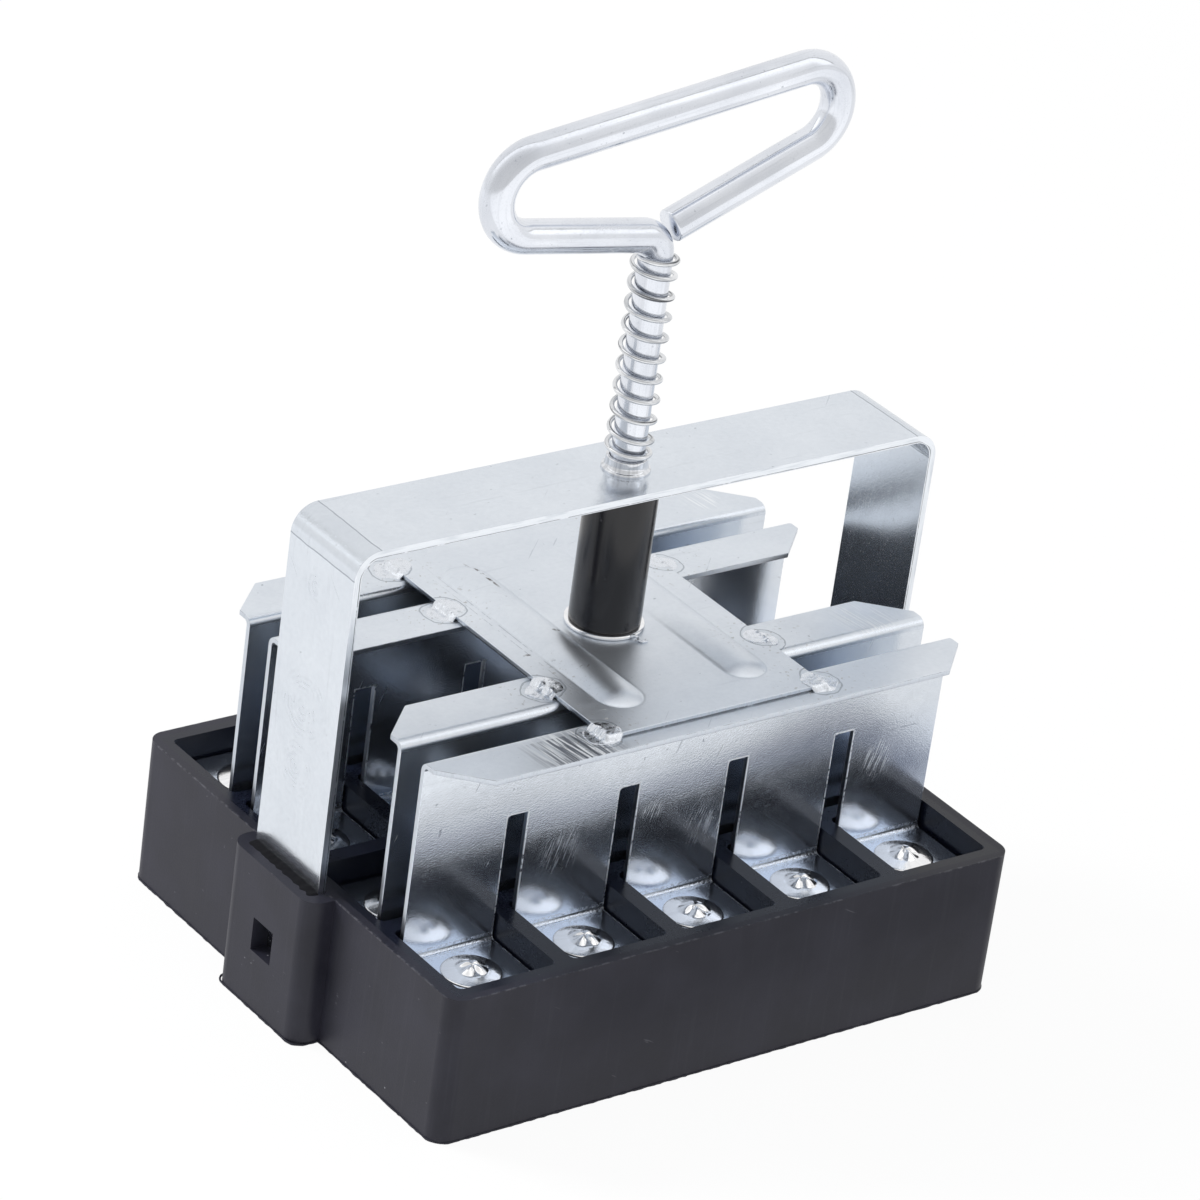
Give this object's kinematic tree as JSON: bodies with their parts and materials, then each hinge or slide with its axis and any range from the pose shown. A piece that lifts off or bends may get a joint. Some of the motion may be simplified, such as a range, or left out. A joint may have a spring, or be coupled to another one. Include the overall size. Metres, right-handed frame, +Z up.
{
  "type": "soil blocker",
  "caption": "Hand press that makes a grid of soil blocks: open plastic cell mould, sheet-steel strap and ejector blades on a sprung rod with a bent-wire grip.",
  "frame": {"origin": "centre of the mould's underside, on the surface it stands on", "axes": "+Z up along the rod, +X along the strap and the mould's longer side, +Y towards the back"},
  "size_m": [0.1344, 0.0998, 0.1718],
  "materials": {
    "mould_plastic": "black injection-moulded plastic, satin with light scuffs",
    "sheet_steel": "galvanised sheet steel, bright with a soft spangle and fine scratches",
    "zinc_rod": "zinc-plated steel rod, smooth and bright",
    "turned_steel": "plain turned steel, bright",
    "spring_wire": "bright drawn spring wire",
    "sleeve_plastic": "black extruded plastic tube, satin",
    "pin_plastic": "black plastic, satin",
    "screw_steel": "bright zinc-plated steel with radial marks",
    "weld_metal": "dull weld nuggets with a heat tint round them"
  },
  "bodies": {
    "mold": {"mold_frame": "mould_plastic", "bridge_strap": "sheet_steel", "guide_bush": "turned_steel", "return_spring": "spring_wire"},
    "press": {"handle": "zinc_rod", "stop_sleeve": "sleeve_plastic", "sleeve_ring": "turned_steel", "press_plate": "sheet_steel", "rod_weld": "weld_metal", "weld_spots": "weld_metal", "blade_1": "sheet_steel", "blade_2": "sheet_steel", "blade_3": "sheet_steel", "blade_4": "sheet_steel", "screws_1": "screw_steel", "screws_2": "screw_steel", "screws_3": "screw_steel", "screws_4": "screw_steel", "seed_pins_1": "pin_plastic", "seed_pins_2": "pin_plastic", "seed_pins_3": "pin_plastic", "seed_pins_4": "pin_plastic"}
  },
  "joints": [
    {"name": "press_slide", "type": "slide", "parent": "mold", "child": "press", "axis": [0, 0, -1], "range_m": [0, 0.019], "stiffness_N_per_m": 1300, "springref_m": -0.01, "deforming": ["return_spring"]}
  ]
}
